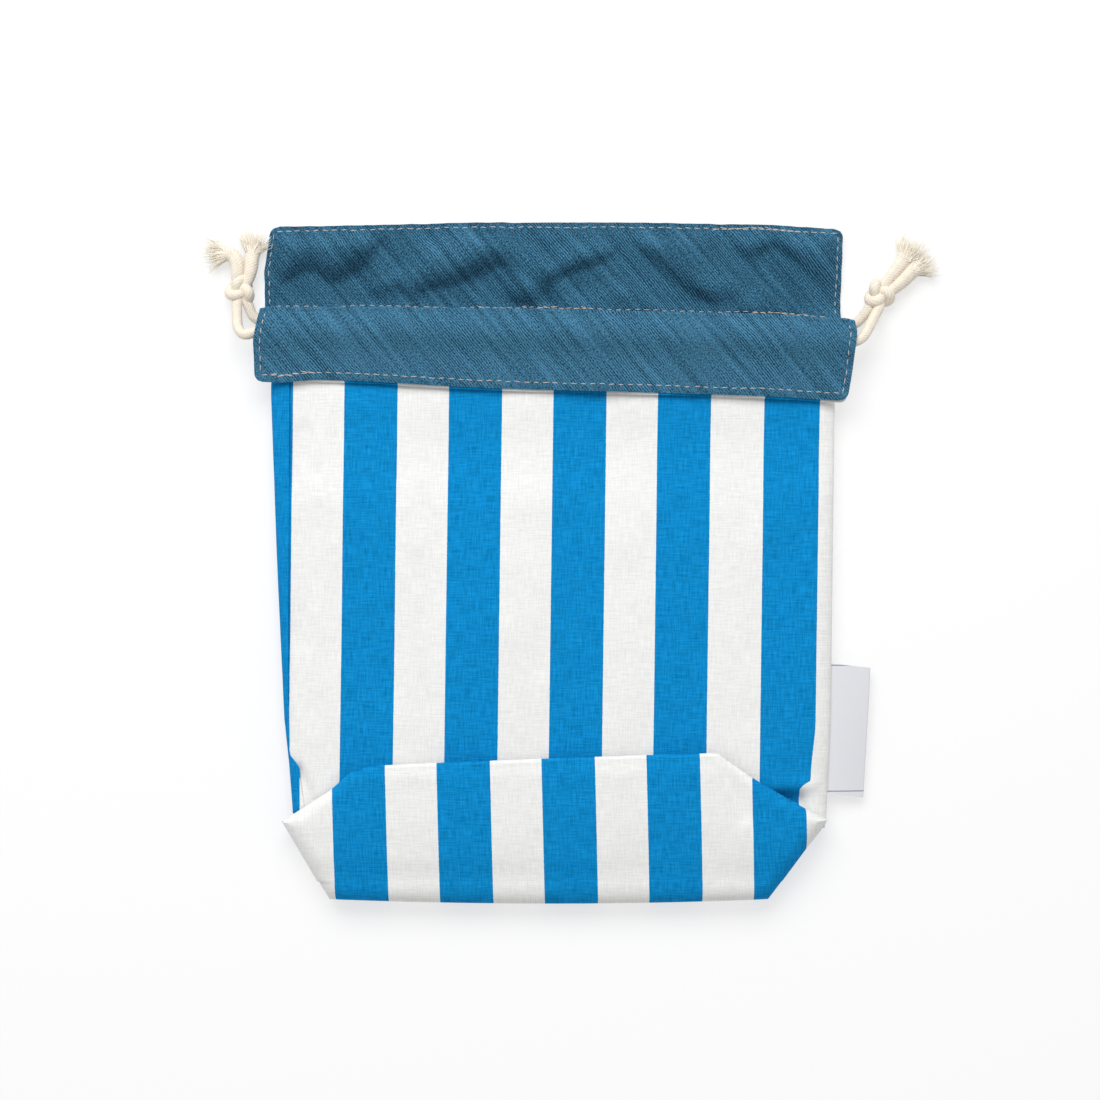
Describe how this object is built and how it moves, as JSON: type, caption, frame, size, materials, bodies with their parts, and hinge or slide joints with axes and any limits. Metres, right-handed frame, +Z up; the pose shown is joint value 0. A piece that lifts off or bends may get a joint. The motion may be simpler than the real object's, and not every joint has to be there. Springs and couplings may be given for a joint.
{
  "type": "drawstring sack",
  "caption": "Small lined drawstring sack of striped cotton, lying flat, with a turned-down front casing, folded base, cord and seam label",
  "frame": {"origin": "middle of the face that the sack rests on", "axes": "+X across the sack, +Y towards the mouth, +Z up from the surface that it lies on"},
  "size_m": [0.2776, 0.2584, 0.0169],
  "materials": {
    "striped_cotton": "plain-weave cotton with wide woven stripes",
    "twill_lining": "soft teal-blue twill with diagonal ribs",
    "topstitch_thread": "matt beige sewing thread",
    "cotton_cord": "soft twisted cotton cord, frayed ends",
    "woven_label": "smooth woven tape"
  },
  "bodies": {
    "bag": {"back_panel": "striped_cotton", "back_lining": "twill_lining", "front_panel": "striped_cotton", "front_lining": "twill_lining", "casing_top_stitches": "topstitch_thread", "casing_lower_stitches": "topstitch_thread", "casing_left_stitches": "topstitch_thread", "casing_right_stitches": "topstitch_thread"},
    "cuff": {"cuff_cotton": "striped_cotton", "cuff_lining": "twill_lining", "cuff_lower_stitches": "topstitch_thread", "cuff_left_stitches": "topstitch_thread", "cuff_right_stitches": "topstitch_thread"},
    "drawcord": {"back_cord": "cotton_cord", "left_knot": "cotton_cord", "right_knot": "cotton_cord", "left_back_strand": "cotton_cord", "left_front_strand": "cotton_cord", "right_back_strand": "cotton_cord", "right_front_strand": "cotton_cord", "left_curled_tail": "cotton_cord", "left_straight_tail": "cotton_cord", "right_upper_tail": "cotton_cord", "right_lower_tail": "cotton_cord"},
    "front_cord": {"front_cord": "cotton_cord"},
    "base_flap": {"base_cotton": "striped_cotton", "base_lining": "twill_lining"},
    "tuck": {"tuck_cotton": "striped_cotton", "tuck_lining": "twill_lining"},
    "label": {"label": "woven_label"}
  },
  "joints": [
    {"name": "cuff_fold", "type": "hinge", "parent": "bag", "child": "cuff", "pos_m": [0, 0.0959, 0.01125], "axis": [-0.9997, 0.0227, 0], "range_deg": [0, 150]},
    {"name": "cord_slide", "type": "slide", "parent": "bag", "child": "drawcord", "axis": [1, 0, 0], "range_m": [-0.0035, 0]},
    {"name": "front_cord_turn", "type": "hinge", "parent": "drawcord", "child": "front_cord", "pos_m": [0, 0.0959, 0.01125], "axis": [-0.9997, 0.0227, 0], "range_deg": [0, 150], "deforming": ["left_front_strand", "right_front_strand"]},
    {"name": "base_fold", "type": "hinge", "parent": "bag", "child": "base_flap", "pos_m": [0, -0.122, 0.0072], "axis": [1, 0, 0], "range_deg": [0, 20]},
    {"name": "tuck_fold", "type": "hinge", "parent": "base_flap", "child": "tuck", "pos_m": [0, -0.0747, 0.0129], "axis": [1, 0, 0], "range_deg": [0, 15]},
    {"name": "label_flip", "type": "hinge", "parent": "bag", "child": "label", "pos_m": [0.1072, 0, 0.00555], "axis": [0, -1, 0], "range_deg": [0, 100]}
  ],
  "couplings": [
    {"joint": "front_cord_turn", "follows": "cuff_fold", "ratio": 1},
    {"joint": "tuck_fold", "follows": "base_fold", "ratio": 0.75}
  ]
}
